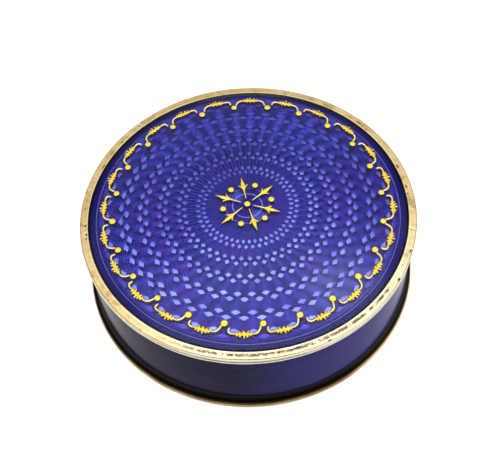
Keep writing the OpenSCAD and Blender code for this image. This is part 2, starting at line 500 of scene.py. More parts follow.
def foil_material(name, base, deep):
    """Stamped gold foil: bright, a little crumpled, uneven in colour."""
    s = Shader(name).place()
    crumple = s.noise(s.at, 3.2, 3.0, 0.6)
    fine = s.noise(s.at, 14.0, 2.0, 0.6)
    tone = s.mix(s.ramp(crumple, 0.35, 0.65), colour(*deep), colour(*base))
    gloss = s.math("MULTIPLY_ADD", fine, 0.2, 0.24)
    relief = s.math("ADD", crumple, s.times(fine, 0.3))
    s.surface(
        Base_Color=tone, Metallic=0.4, Roughness=gloss, Normal=s.bump(relief, 0.03, 0.7)
    )
    return s.material


def edge_and_shadow_material():
    """The dark line round each piece of foil: partly the foil's darkened edge, partly painted shadow.
    """
    s = Shader("foil_edge_and_shadow").place()
    # Painted shadow, with a darkened edge: nearly black round each piece of foil.
    tone = s.mix(s.noise(s.at, 6.0, 2.0), colour(0.008, 0.006, 0.02), colour(0.03, 0.015, 0.02))
    s.surface(Base_Color=tone, Roughness=0.45)
    return s.material


# Colours of the ground as they show through cobalt enamel, some of them painted light and shade; FAR is
# the side away from the camera, where the flutes are painted lighter and the lozenges duller
FLUTE_DARK, FLUTE_DARK_FAR = (0.006, 0.006, 0.16), (0.012, 0.012, 0.3)
FLUTE_PALE, FLUTE_PALE_FAR = (0.062, 0.068, 0.5), (0.13, 0.16, 0.96)
DUST_VIOLET = (0.075, 0.036, 0.3)
DUST_NAVY = (0.005, 0.006, 0.13)
RAY_DARK = (0.004, 0.004, 0.11)
RAY_PALE = (0.07, 0.075, 0.52)
GRAIN_BLUE = (0.012, 0.01, 0.2)
LOZENGE_LOW, LOZENGE_HIGH = (0.2, 0.22, 0.8), (0.34, 0.37, 0.96)
LOZENGE_FAINT = (0.07, 0.055, 0.44)
LOZENGE_FAR = (0.12, 0.14, 0.8)
LOZENGE_DULL = (0.085, 0.085, 0.55)
DEEP_BLUE = (0.02, 0.014, 0.22)
CLOUD_VIOLET = (0.06, 0.02, 0.34)
SPECK_DARK = (0.02, 0.03, 0.12)
REFLECTION_GREY = (0.22, 0.23, 0.38)
SHINE_BLUE = (0.2, 0.24, 0.95)
RING_HIGHLIGHT_BLUE = (0.24, 0.28, 0.95)
MARGIN_BLUE, MARGIN_VIOLET = (0.006, 0.006, 0.17), (0.010, 0.006, 0.13)
RIM_SHADOW = (0.002, 0.002, 0.012)
CREASE_HIGHLIGHT_BLUE = (0.26, 0.25, 0.8)


class Ground(Shader):
    """The engine-turned ground. What several layers need is made first; then each layer lays
    its colours over the tone below it."""

    def __init__(self, name):
        super().__init__(name)
        self.place()
        self.pitches = self.times(self.angle, LOZENGES / math.tau)
        self.rows = self.math("DIVIDE", self.math("SUBTRACT", self.r, PAIR_R), PAIR_PERIOD)
        self.flutes = self.math("COSINE", self.times(self.pitches, math.tau))
        self.clouds = self.noise(self.at, 0.16, 3.0)
        self.grain = self.noise(self.turned(22.0, 6.0), 1.0, 3.0)

        # Fine cuts run round the lid in waves that swing with the lozenges.
        wave = self.math("PINGPONG", self.math("ADD", self.pitches, 0.5), 0.5)
        bent = self.math("ADD", self.r, self.times(wave, CUT_SWAY))
        self.cuts = self.math("SINE", self.times(bent, math.tau / CUT_PITCH))

        # No two lozenges are cut quite alike.
        column = self.math("FLOOR", self.math("ADD", self.pitches, 0.25))
        row = self.math("FLOOR", self.times(self.rows, 3.4))
        spot = self.node("ShaderNodeCombineXYZ", {0: column, 1: row}).outputs[0]
        luck = self.node("ShaderNodeTexWhiteNoise", {0: spot}, noise_dimensions="2D")
        self.luck = luck.outputs["Value"]

        # How far the turned field and its lozenges reach
        end = self.ramp(self.r, FIELD_END_R, FIELD_END_R - 0.1)
        start = self.ramp(self.r, LOZENGES_START_R, LOZENGES_START_R + 0.1)
        self.field = self.times(self.ramp(self.r, SUNBURST_START_R, SUNBURST_START_R + 1.6), end)
        both = self.math("MAXIMUM", self.lozenge_row(0.0, 0.5), self.lozenge_row(PAIR_GAP, 0.0))
        self.lozenge = self.times(self.ramp(both, 0.0, LOZENGE_EDGE), start, end)
        self.outside = self.ramp(self.r, CREASE_R - 0.05, CREASE_R + 0.05)

        # The sides of the lid on which the turning is painted lighter or darker, as light would fall on
        # it
        half_way = self.ramp(self.r, 0.3 * ENAMEL_R, 0.7 * ENAMEL_R)
        self.far_side = self.times(self.facing(FAR_ANGLE, 0.3, 0.9), half_way)
        self.burst_side = self.facing(BURST_ANGLE, 0.1, 0.8)

    def lozenge_row(self, gap, shift):
        """1 at the middle of a lozenge and 0 on its outline: a fan, arched on its inner side."""
        across = self.math("SUBTRACT", self.rows, gap / PAIR_PERIOD)
        across = self.times(self.math("WRAP", across, 0.5, -0.5), PAIR_PERIOD / LOZENGE_HALF_H)
        outer = self.math("GREATER_THAN", across, 0.0)
        power = self.math("MULTIPLY_ADD", outer, FAN_OUT - FAN_IN, FAN_IN)
        around = self.math("WRAP", self.math("ADD", self.pitches, shift), 0.5, -0.5)
        around = self.math("DIVIDE", self.math("ABSOLUTE", around), LOZENGE_HALF_W)
        across = self.math("POWER", self.math("ABSOLUTE", across), power)
        around = self.math("POWER", around, power)
        return self.math("SUBTRACT", 1.0, self.math("ADD", across, around))

    def fluting(self):
        """Flutes laid light and dark round the lid, broken up by the fine cuts and by dust. Which
        flutes are light, and how strongly, changes from side to side, and the far side is laid lighter:
        painted light.
        """
        # Painted light: the flutes' light and dark swap over from side to side.
        near = self.math("MULTIPLY_ADD", self.facing(NEAR_ANGLE, 0.6, 0.95), 0.32, 0.1)
        swing = self.math("SUBTRACT", self.times(self.far_side, 0.3), near)
        light = self.math("ADD", self.times(self.flutes, swing), 0.86)
        ticks = self.math("MULTIPLY_ADD", self.cuts, 0.42, 0.5)
        uneven = self.math("MULTIPLY_ADD", self.luck, 0.5, 0.75)
        light = self.times(light, self.field, ticks, uneven)
        rest = self.times(self.math("SUBTRACT", 1.0, self.field), 0.14)
        light = self.math("ADD", light, rest, clamp=True)
        # Painted light: the far side is laid in lighter colours.
        dark = self.mix(self.far_side, colour(*FLUTE_DARK), colour(*FLUTE_DARK_FAR))
        pale = self.mix(self.far_side, colour(*FLUTE_PALE), colour(*FLUTE_PALE_FAR))
        tone = self.mix(light, dark, pale)
        dust = self.noise(self.at, 2.4, 2.0, 0.6)
        tone = self.coat(tone, DUST_VIOLET, self.ramp(dust, 0.5, 0.6), 0.6)
        return self.coat(tone, DUST_NAVY, self.ramp(dust, 0.49, 0.38), 0.7)

    def sunburst(self, tone):
        """Rays that run out from the star, with more contrast painted on one side as light, then a
        turned grain over all.
        """
        rays = self.math("SINE", self.times(self.angle, 2 * LOZENGES))
        inner = self.ramp(self.r, HUB_R + 0.1, HUB_R + 1.0)
        outer = self.ramp(self.r, 0.6 * ENAMEL_R, 0.35 * ENAMEL_R)
        # Painted light: the rays show more contrast on one side.
        burst = self.times(inner, outer, self.math("MULTIPLY_ADD", self.burst_side, 0.65, 0.3))
        tone = self.coat(tone, RAY_DARK, self.ramp(rays, 0.0, 0.8), burst)
        tone = self.coat(tone, RAY_PALE, self.ramp(rays, -0.3, -1.0), self.times(burst, 0.6))
        return self.coat(tone, GRAIN_BLUE, self.ramp(self.grain, 0.35, 0.7), 0.4)

    def lozenges(self, tone):
        """Bright lozenges, laid fainter under the leaves, at the back and near the star on one side:
        painted shade.
        """
        bright = self.mix(self.luck, colour(*LOZENGE_LOW), colour(*LOZENGE_HIGH))
        # Painted shade: lozenges laid fainter under the leaves, on the far side, and near the star on
        # one side.
        leaves = self.ramp(self.r, LEAF_CIRCLE_R - 0.2, LEAF_CIRCLE_R + 0.1)
        bright = self.coat(bright, LOZENGE_FAINT, leaves)
        bright = self.coat(bright, LOZENGE_FAR, self.far_side, 0.8)
        inner = self.ramp(self.r, 0.7 * ENAMEL_R, 0.3 * ENAMEL_R)
        bright = self.coat(bright, LOZENGE_DULL, self.times(self.burst_side, inner), 0.6)
        return self.mix(self.lozenge, tone, bright)

    def patches(self, tone):
        """Slow changes of colour, dark specks, and a painted reflection: a pale grey veil at the front
        right.
        """
        outer = self.ramp(self.r, 0.4 * ENAMEL_R, 0.8 * ENAMEL_R)
        tone = self.coat(tone, DEEP_BLUE, self.times(self.facing(DEEP_ANGLE, 0.5, 1.0), outer), 0.4)
        tone = self.coat(tone, CLOUD_VIOLET, self.ramp(self.clouds, 0.4, 0.75), 0.35)
        specks = self.ramp(self.noise(self.at, 4.5, 3.0, 0.7), 0.62, 0.8)
        tone = self.coat(tone, SPECK_DARK, specks, 0.3)
        # Painted reflection: a pale grey veil at the front right.
        painted_reflection = self.ramp(self.away_from(REFLECTION_AT), REFLECTION_R, 0.0)
        return self.coat(tone, REFLECTION_GREY, painted_reflection, self.math("MULTIPLY_ADD", self.clouds, 0.4, 0.05))

    def hub(self, tone):
        """Inside the star: fine rings, with a painted highlight along one diameter where they would
        catch the light, and engraved rings painted bright.
        """
        threads = self.math("SINE", self.times(self.r, math.tau / THREAD_PITCH))
        # Painted highlight: the fine rings lighten along one diameter.
        turn = self.times(self.math("SUBTRACT", self.angle, BOW_ANGLE), 2.0)
        bow = self.ramp(self.math("COSINE", turn), 0.55, 0.98)
        inside = self.ramp(self.r, HUB_R + 0.05, HUB_R)
        shine = self.times(bow, self.ramp(self.r, 0.7, 1.9), inside)
        tone = self.coat(tone, SHINE_BLUE, shine, self.math("MULTIPLY_ADD", threads, 0.55, 0.25))
        # Painted highlight: each engraved ring is laid in pale blue, broken by the grain.
        for r, clear in HUB_RINGS:
            line = self.times(self.ring(r, 0.12, 0.08), self.ramp(self.grain, 0.2, 0.5))
            tone = self.coat(tone, RING_HIGHLIGHT_BLUE, line, clear)
        return tone

    def margin(self, tone):
        """The plain band outside the crease, with a painted shadow that makes it nearly black where it
        meets the rim, and one painted highlight: a bright line along the crease, a little off centre."""
        clouds = self.ramp(self.clouds, 0.3, 0.7)
        plain = self.mix(clouds, colour(*MARGIN_BLUE), colour(*MARGIN_VIOLET))
        tone = self.mix(self.outside, tone, plain)
        # Painted shadow: nearly black where the band meets the rim.
        tone = self.coat(tone, RIM_SHADOW, self.ramp(self.r, ENAMEL_R - 0.4, ENAMEL_R - 0.06))
        # Painted highlight: a pale line along the crease, a little off centre.
        off = self.math("SUBTRACT", self.away_from((0.0, -CREASE_HIGHLIGHT_SHIFT, 0.0)), CREASE_R + 0.1)
        fine_line = self.ramp(self.math("ABSOLUTE", off), 0.07, 0.02)
        fine_line = self.times(fine_line, self.ramp(self.grain, 0.2, 0.5))
        return self.coat(tone, CREASE_HIGHLIGHT_BLUE, fine_line, 0.8)

    def relief(self):
        """Height in millimetres: flutes lean one way and then the other, under the fine cuts."""
        lean = self.math("WRAP", self.math("SUBTRACT", self.rows, FLUTE_MID), 0.5, -0.5)
        lean = self.times(lean, PAIR_PERIOD, self.flutes, math.tan(FLUTE_LEAN))
        lean = self.times(lean, self.ramp(self.r, LOZENGES_START_R, 2 * LOZENGES_START_R))
        lean = self.times(lean, self.field, self.math("SUBTRACT", 1.0, self.lozenge))
        return self.math("MULTIPLY_ADD", self.cuts, CUT_DEPTH, lean)


def ground_material():
    """Engine-turned ground, in the colour it has through cobalt enamel, with painted light, shade and
    reflection laid on it.
    """
    s = Ground("engine_turned_ground")
    tone = s.fluting()
    for layer in (s.sunburst, s.lozenges, s.patches, s.hub, s.margin):
        tone = layer(tone)
    metal = s.times(s.math("SUBTRACT", 1.0, s.outside), 0.85)
    gloss = s.math("MULTIPLY_ADD", s.lozenge, -0.12, 0.36)
    shader = s.surface(
        Base_Color=tone, Metallic=metal, Roughness=gloss, Normal=s.bump(s.relief(), 1.0)
    )
    shader.inputs["Specular IOR Level"].default_value = 0.15
    shader.inputs["Specular Tint"].default_value = colour(0.35, 0.35, 0.85)
    shader.inputs["Anisotropic"].default_value = 0.4
    tangent = s.node("ShaderNodeTangent", direction_type="RADIAL", axis="Z")
    s.put(shader.inputs["Tangent"], tangent.outputs[0])
    return s.material


GLASS_TINT = (0.95, 0.955, 0.99)


def clear_enamel_material():
    """The glass itself: it tints what lies under it and mirrors the room in its surface."""
    s = Shader("clear_enamel").place()
    swell = s.noise(s.at, 0.5, 2.0)
    hairs = s.node(
        "ShaderNodeTexNoise", {"Vector": s.at, "Scale": 1.4, "Detail": 6.0, "Distortion": 3.0}
    ).outputs["Fac"]
    fine_line = s.math("ABSOLUTE", s.math("SUBTRACT", hairs, 0.5))
    fine_line = s.times(s.ramp(fine_line, 0.004, 0.0), s.ramp(swell, 0.5, 0.62))
    height = s.math("SUBTRACT", swell, s.times(fine_line, 0.08))
    normal = s.bump(height, 0.02, 0.35)
    clear = s.node("ShaderNodeBsdfTransparent", {"Color": colour(*GLASS_TINT)})
    gloss = s.node("ShaderNodeBsdfGlossy", {"Color": colour(1, 1, 1), "Normal": normal})
    s.put(gloss.inputs["Roughness"], s.math("MULTIPLY_ADD", fine_line, 0.3, 0.05))
    fresnel = s.node("ShaderNodeFresnel", {"IOR": 1.31, "Normal": normal})
    layers = {0: fresnel.outputs[0], 1: clear.outputs[0], 2: gloss.outputs[0]}
    s.output(s.node("ShaderNodeMixShader", layers).outputs[0])
    return s.material


def enamel_underside_material():
    """Where the enamel meets the metal there is no mirror, only its tint."""
    s = Shader("enamel_underside")
    s.output(s.node("ShaderNodeBsdfTransparent", {"Color": colour(*GLASS_TINT)}).outputs[0])
    return s.material


def wall_material():
    """Navy enamel, laid bluer and lighter towards the right of the front as painted light, with fine
    drag lines and white specks.
    """
    s = Shader("navy_enamel").place()
    clouds = s.noise(s.at, 0.22, 3.0)
    lines = s.noise(s.turned(1.2, 5.0), 1.0, 3.0, 0.7)
    specks = s.noise(s.at, 3.4, 2.0)
    # Painted light: the wall is laid bluer and lighter towards the right of the front.
    side = s.facing(WALL_LIT_ANGLE, 0.4, 1.0)
    blue = s.math("ADD", side, s.math("MULTIPLY_ADD", clouds, 0.6, -0.3), clamp=True)
    tone = s.mix(blue, colour(0.006, 0.005, 0.026), colour(0.03, 0.023, 0.17))
    tone = s.coat(tone, (0.05, 0.045, 0.11), s.ramp(lines, 0.5, 0.75), 0.5)
    tone = s.coat(tone, (0.3, 0.3, 0.4), s.ramp(specks, 0.74, 0.8), 0.7)
    height = s.math("ADD", s.times(lines, 0.6), clouds)
    s.surface(
        Base_Color=tone, Roughness=s.math("MULTIPLY_ADD", specks, 0.15, 0.1),
        IOR=1.09, Normal=s.bump(height, 0.02, 0.5),
    )
    return s.material


GILT = gilt_material(
    "rim_gilt", (0.74, 0.52, 0.2), (0.86, 0.68, 0.36), (0.42, 0.28, 0.12), 0.6, 0.26, rim_wear_and_light
)
MOUTH_GILT = gilt_material(
    "mouth_gilt", (0.86, 0.8, 0.66), (0.9, 0.87, 0.8), (0.5, 0.42, 0.3), 0.3, 0.24
)
FOOT_GILT = gilt_material(
    "foot_gilt", (0.34, 0.2, 0.07), (0.5, 0.34, 0.15), (0.08, 0.04, 0.015), 0.4, 0.3, foot_painted_light
)
INSIDE_GILT = gilt_material(
    "inside_gilt", (0.8, 0.62, 0.32), (0.88, 0.74, 0.46), (0.5, 0.34, 0.16), 0.25, 0.26
)
FOIL = foil_material("gold_foil", (1.0, 0.82, 0.13), (1.0, 0.64, 0.04))
LEAF_FOIL = foil_material("leaf_foil", (1.0, 0.75, 0.09), (1.0, 0.57, 0.03))
PALE_FOIL = foil_material("pale_foil", (1.0, 0.87, 0.46), (0.98, 0.72, 0.22))
EDGE_AND_SHADOW = edge_and_shadow_material()
GROUND = ground_material()
CLEAR = clear_enamel_material()
UNDERSIDE = enamel_underside_material()
NAVY = wall_material()


# ---------------------------------------------------------------- drum
def foot_ring():
    inner = FLOOR_R
    cove_w = FOOT_R - LIP_ROUND - WALL_R
    cove_h = FOOT_TOP - LIP_H
    cove = [
        (WALL_R + cove_w * (1 - math.cos(a)), FOOT_TOP - cove_h * math.sin(a))
        for a in [math.radians(90 - 90 * i / 12) for i in range(1, 13)]
    ]
    profile = (
        [(inner, 0.12), (inner + 0.12, 0.0)]
        + run((inner + 0.12, 0.0), (FOOT_R - LIP_ROUND, 0.0), 4)
        + arc(FOOT_R - LIP_ROUND, LIP_ROUND, LIP_ROUND, -90, 0, 6)
        + arc(FOOT_R - LIP_ROUND, LIP_H - LIP_ROUND, LIP_ROUND, 0, 90, 6)
        + cove
        + [(inner, FOOT_TOP)]
    )

    def wear(r, z, a):
        if r < WALL_R:
            return r, z
        return r - abs(ripple(a, 0.0, 6.0, 0.05)) * (r - WALL_R) / (FOOT_R - WALL_R), z

    lathe("foot", profile, 480, "drum", ["foot_ring"], [FOOT_GILT], wear)


def floor_plate():
    low = FLOOR_BOTTOM
    upper = [(FLOOR_R, FOOT_TOP - 0.05), (FLOOR_R - 0.08, FOOT_TOP)]
    for r in (FLOOR_R - 0.5, 12.0, 5.0):
        upper += [(r, FOOT_TOP), (r - 0.1, FOOT_TOP - 0.05), (r - 0.2, FOOT_TOP)]
    lower = [(0.0, low), (6.0, low), (6.1, low + 0.04), (6.25, low)]
    lower += [(FLOOR_R - 1.2, low), (FLOOR_R - 1.1, low + 0.04), (FLOOR_R - 0.95, low)]
    profile = upper + [(0.0, FOOT_TOP)] + lower + [(FLOOR_R, low)]
    lathe("floor", profile, 240, "drum", ["floor_plate"], [INSIDE_GILT], None, 12)


def wall():
    tube_profile = (
        [(TUBE_R, FOOT_TOP)]
        + run((TUBE_R, FOOT_TOP), (TUBE_R, WALL_TOP), 4)
        + [(TUBE_R, WALL_TOP), (BORE_R, WALL_TOP)]
        + run((BORE_R, WALL_TOP), (BORE_R, FOOT_TOP), 12)
        + [(BORE_R, FOOT_TOP)]
    )
    lathe("tube", tube_profile, 360, "drum", ["wall_tube"], [INSIDE_GILT])
    edge = 0.12
    skin_profile = (
        [(TUBE_R, FOOT_TOP)]
        + arc(WALL_R - edge, FOOT_TOP + edge, edge, -90, 0, 3)
        + run((WALL_R, FOOT_TOP + edge), (WALL_R, WALL_TOP - edge), 24)
        + arc(WALL_R - edge, WALL_TOP - edge, edge, 0, 90, 3)
        + [(TUBE_R, WALL_TOP)]
    )

    def fired(r, z, a):
        if r < TUBE_R + 0.1:
            return r, z
        return r - 0.012 + ripple(a, z * 0.25, 4.0, 0.012), z

    lathe("wall_skin", skin_profile, 480, "drum", ["wall_enamel"], [NAVY], fired)


def mouth_ring():
    half = (MOUTH_TOP - MOUTH_BOTTOM) / 2
    profile = (
        [(BORE_R, MOUTH_BOTTOM)]
        + run((BORE_R, MOUTH_BOTTOM), (MOUTH_R - half, MOUTH_BOTTOM), 3)
        + arc(MOUTH_R - half, MOUTH_BOTTOM + half, half, -90, 90, 12)
        + [(BORE_R + 0.15, MOUTH_TOP), (BORE_R, MOUTH_TOP - 0.15)]
    )

    def wear(r, z, a):
        if r < MOUTH_R - half:
            return r, z
        return r - abs(ripple(a, 1.0, 9.0, 0.04)), z

    lathe("mouth_bead", profile, 480, "drum", ["mouth_ring"], [MOUTH_GILT], wear)


# ---------------------------------------------------------------- lid
def pit_depth(r, angle):
    """How deep the rim's pits have bitten at a radius and an angle in degrees."""
    depth = 0.0
    for at, pit_r, half_l, half_w in RIM_PITS:
        along = math.radians(math.remainder(angle - at, 360)) * r / half_l
        depth = max(depth, PIT_DEPTH * math.exp(-(along**2) - ((r - pit_r) / half_w) ** 2))
    return depth


def lid_rim():
    edge = 0.22
    sunk = RIM_TOP - 0.03
    profile = (
        [(ENAMEL_R, RIM_BOTTOM)]
        + run((ENAMEL_R, RIM_BOTTOM), (RIM_R - edge, RIM_BOTTOM), 3)
        + arc(RIM_R - edge, RIM_BOTTOM + edge, edge, -90, 0, 6)
        + run((RIM_R, RIM_BOTTOM + edge), (RIM_R, sunk - edge), 4)
        + arc(RIM_R - edge, sunk - edge, edge, 0, 90, 8)
        + run((RIM_R - edge, sunk), (ENAMEL_R + 0.38, sunk), 10)
        + [(ENAMEL_R + 0.38, sunk), (ENAMEL_R + 0.28, RIM_TOP - 0.012), (ENAMEL_R + 0.19, RIM_TOP)]
        + [(ENAMEL_R + 0.1, RIM_TOP - 0.02), (ENAMEL_R + 0.03, RIM_TOP - 0.07)]
        + [(ENAMEL_R, RIM_TOP - 0.12)]
    )

    def wear(r, z, a):
        if r < ENAMEL_R + 0.02 or z < RIM_BOTTOM + edge:
            return r, z
        degrees = math.degrees(a)
        rub = 0.008 + ripple(a, r * 0.8, 14.0, 0.008)
        lean = SOLDER_ANGLE - 0.7 * (r - ENAMEL_R)
        seam = math.exp(-((math.remainder(degrees - lean, 360) / 0.14) ** 2))
        dent = pit_depth(r, degrees)
        z_new = z - rub - dent - 0.06 * seam if z > sunk - edge else z
        return r - abs(ripple(a, 2.0, 11.0, 0.02)) - 0.05 * seam, z_new

    lathe("rim", profile, 1440, "lid", ["lid_rim"], [GILT], wear)


def ground_height(r, turn):
    """Relief of the engine turning, in millimetres, at a radius and an angle in pitches."""
    if not SUNBURST_START_R < r < FIELD_END_R:
        groove = math.exp(-(((r - CREASE_R + 0.05) / 0.06) ** 2))
        hub = sum(math.exp(-(((r - ring) / 0.08) ** 2)) for ring, _ in HUB_RINGS)
        return -0.03 * groove - 0.02 * hub
    row = (r - PAIR_R) / PAIR_PERIOD
    best, tilt = -1.0, 0.0
    for gap, shift in ((0.0, 0.5), (PAIR_GAP, 0.0)):
        dv = math.remainder(row - gap / PAIR_PERIOD, 1.0) * PAIR_PERIOD / LOZENGE_HALF_H
        du = math.remainder(turn + shift, 1.0) / LOZENGE_HALF_W
        power = FAN_OUT if dv > 0 else FAN_IN
        inside = 1 - abs(dv) ** power - abs(du) ** power
        if inside > best:
            best, tilt = inside, -LOZENGE_TILT * dv
    if best > 0 and r > LOZENGES_START_R:
        return LOZENGE_LIFT + tilt
    fade = min(1.0, (r - SUNBURST_START_R) / FLUTE_FADE)
    flute = FLUTE_DEPTH * (4 * abs(math.remainder(turn, 1.0)) - 1)
    return flute * fade * min(1.0, abs(best) * 2)


def lid_plaque():
    per_pitch = 12
    ring_step = 0.135
    drop = ENAMEL_T + 0.04
    side = ENAMEL_R - 0.01
    radii = [0.0, 0.4, 0.8, 1.2, 1.6]
    r = 1.9
    while r < ENAMEL_R - 0.02:
        radii.append(r)
        r += ring_step
    profile = [(r, dome_z(r) - drop) for r in radii + [side]]
    profile += [(side, LINING_TOP), (0.0, LINING_TOP)]

    def cut(r, z, a):
        if z <= LINING_TOP + 1e-6:
            return r, z
        return r, z + ground_height(r, a / math.tau * LOZENGES)

    lathe(
        "engine_turned_plaque", profile, LOZENGES * per_pitch, "lid",
        ["lid_plaque"], [GROUND], cut, 60,
    )


def lid_enamel():
    steps = 40
    dome = [(CREASE_R * i / steps, dome_z(CREASE_R * i / steps)) for i in range(steps)]
    bend = [
        (CREASE_R - 0.12, dome_z(CREASE_R - 0.12)),
        (CREASE_R, CREASE_Z - 0.012),
        (CREASE_R + 0.12, dome_z(CREASE_R + 0.12)),
    ]
    slope = run(bend[-1], (ENAMEL_R - 0.1, dome_z(ENAMEL_R - 0.1)), 6)
    edge = [(ENAMEL_R - 0.1, dome_z(ENAMEL_R - 0.1)), (ENAMEL_R, RIM_TOP - 0.02)]
    top_line = dome + bend + slope + edge
    under = [(ENAMEL_R, RIM_TOP - 0.06), (CREASE_R, CREASE_Z - ENAMEL_T + 0.06)]
    for i in range(9, -1, -1):
        r = CREASE_R * i / 10
        under.append((r, dome_z(r) - ENAMEL_T + 0.05))
    count = len(top_line)
    lathe(
        "enamel_glass", top_line + under, 288, "lid", ["lid_enamel"],
        [CLEAR, UNDERSIDE], None, 60, lambda i: 0 if i < count - 1 else 1,
    )


def lid_underside():
    low = RIM_BOTTOM
    inner = SLEEVE_R - SLEEVE_T
    profile = (
        [(0.0, LINING_TOP), (ENAMEL_R, LINING_TOP), (ENAMEL_R, low)]
        + [(inner - 0.6, low), (inner - 0.7, low + 0.06), (inner - 0.85, low)]
        + [(8.0, low), (7.9, low + 0.06), (7.75, low), (0.0, low)]
    )
    lathe("lining", profile, 240, "lid", ["lid_backplate"], [INSIDE_GILT], None, 12)
    sleeve = (
        [(SLEEVE_R, low), (inner, low)]
        + run((inner, low), (inner, SLEEVE_BOTTOM + 0.2), 6)
        + arc(SLEEVE_R - SLEEVE_T / 2, SLEEVE_BOTTOM + SLEEVE_T / 2, SLEEVE_T / 2, 180, 360, 8)
        + run((SLEEVE_R, SLEEVE_BOTTOM + 0.3), (SLEEVE_R, low), 6)
    )
    lathe("sleeve", sleeve, 360, "lid", ["lid_sleeve"], [INSIDE_GILT])


# ---------------------------------------------------------------- foil
class Foil:
    """Collects domed strips and beads that lie on the enamel, then makes them one piece."""

    def __init__(self):
        self.verts, self.faces, self.indices = [], [], []

    def on_dome(self, x, y, lift):
        return (x, y, dome_z(math.hypot(x, y)) + lift)

    def strip(self, line, widths, material=GOLD):
        """A pillow-shaped strip along a line of points; widths are half-widths at each."""
        rows = []
        for i, (x, y) in enumerate(line):
            ax, ay = line[max(i - 1, 0)]
            bx, by = line[min(i + 1, len(line) - 1)]
            length = math.hypot(bx - ax, by - ay)
            nx, ny = -(by - ay) / length, (bx - ax) / length
            w = widths[i]
            rise = FOIL_T * min(1.0, w / FULL_STRIP)
            skirt = w + STRIP_SKIRT
            places = [(side * w, height * rise) for side, height in STRIP_SECTION]
            places = [(-skirt, 0.001)] + places + [(skirt, 0.001)]
            row = []
            for out, height in places:
                row.append(len(self.verts))
                self.verts.append(self.on_dome(x + nx * out, y + ny * out, height))
            rows.append(row)
        last = len(rows[0]) - 1
        for a, b in zip(rows, rows[1:]):
            for k in range(last):
                index = EDGE if k in (0, last - 1) else material
                self.add([a[k], a[k + 1], b[k + 1], b[k]], index)
            self.add([a[-1], a[0], b[0], b[-1]], EDGE)
        self.add(rows[0], EDGE)
        self.add(rows[-1][::-1], EDGE)

    def bead(self, x, y, r):
        gold = 1 - BEAD_SKIRT / r
        rings = [(1.0, 0.01)] + [(gold * share, height) for share, height in BEAD_SECTION]
        segments = 20
        first = len(self.verts)
        for share, height in rings:
            for k in range(segments):
                a = math.tau * k / segments
                out = r * share
                spot = x + out * math.cos(a), y + out * math.sin(a)
                self.verts.append(self.on_dome(*spot, height * BEAD_H))
        for i in range(len(rings) - 1):
            for k in range(segments):
                j = (k + 1) % segments
                a, b = first + i * segments, first + (i + 1) * segments
                self.add([a + k, a + j, b + j, b + k], GOLD if i else EDGE)
        crown = len(self.verts)
        self.verts.append(self.on_dome(x, y, BEAD_H))
        last = first + (len(rings) - 1) * segments
        for k in range(segments):
            self.add([last + k, last + (k + 1) % segments, crown], GOLD)
        self.add([first + k for k in range(segments)][::-1], EDGE)

    def add(self, face, material):
        self.faces.append(face)
        self.indices.append(material)

    def make(self, name, nodes, angle=0.0, slide=0.0, gold=FOIL):
        """Slides the foil along X, turns it about +Z and keeps it on the dome."""
        turn = Matrix.Rotation(angle, 3, "Z")
        placed = []
        for x, y, z in self.verts:
            r = math.hypot(x, y)
            lift = z - dome_z(r)
            moved = turn @ Vector((x + slide, y, 0))
            placed.append((moved.x, moved.y, dome_z(math.hypot(moved.x, moved.y)) + lift))
        return finish_mesh(
            name, placed, self.faces, "lid", nodes,
            [gold, PALE_FOIL, EDGE_AND_SHADOW], 75, self.indices,
        )


def curve(a, b, c, steps):
    """Points of a quadratic curve from a to c, drawn towards b."""
    points = []
    for i in range(steps + 1):
        t = i / steps
        points.append(tuple(
            (1 - t) ** 2 * p + 2 * t * (1 - t) * q + t * t * s for p, q, s in zip(a, b, c)
        ))
    return points


def taper(start, middle, end, steps):
    """Half-widths that swell from start to middle and fall to end, as a leaf does."""
    widths = []
    for i in range(steps + 1):
        t = i / steps
        swell = math.sin(math.pi * t) ** 0.8 if 0 < t < 1 else 0.0
        widths.append((1 - t) * start + t * end + (middle - (start + end) / 2) * swell)
    return widths


def arrow():
    """Along +X: a slim pale stem that widens into a leaf, with two barbs that sweep outwards."""
    foil = Foil()
    end = ARROW_START + ARROW_LEN
    neck = ARROW_START + ARROW_LEN * 0.5
    foil.strip(
        curve((ARROW_START, 0), (2.0, 0.0), (neck + 0.3, 0), 8), taper(0.05, 0.09, 0.17, 8), STEM
    )
    foil.strip(curve((neck - 0.4, 0), (neck + 0.5, 0), (neck + 0.95, 0), 8), taper(0.06, 0.24, 0.23, 8))
    foil.strip(curve((neck + 0.85, 0), (neck + 1.3, 0), (end, 0), 8), taper(0.23, 0.11, 0.01, 8))
    for side in (-1, 1):
        foil.strip(
            curve((neck - 0.35, 0.08 * side), (neck + 0.3, 0.16 * side), (neck + 0.52, 0.74 * side), 8),
            taper(0.05, 0.11, 0.012, 8),
        )
    return foil


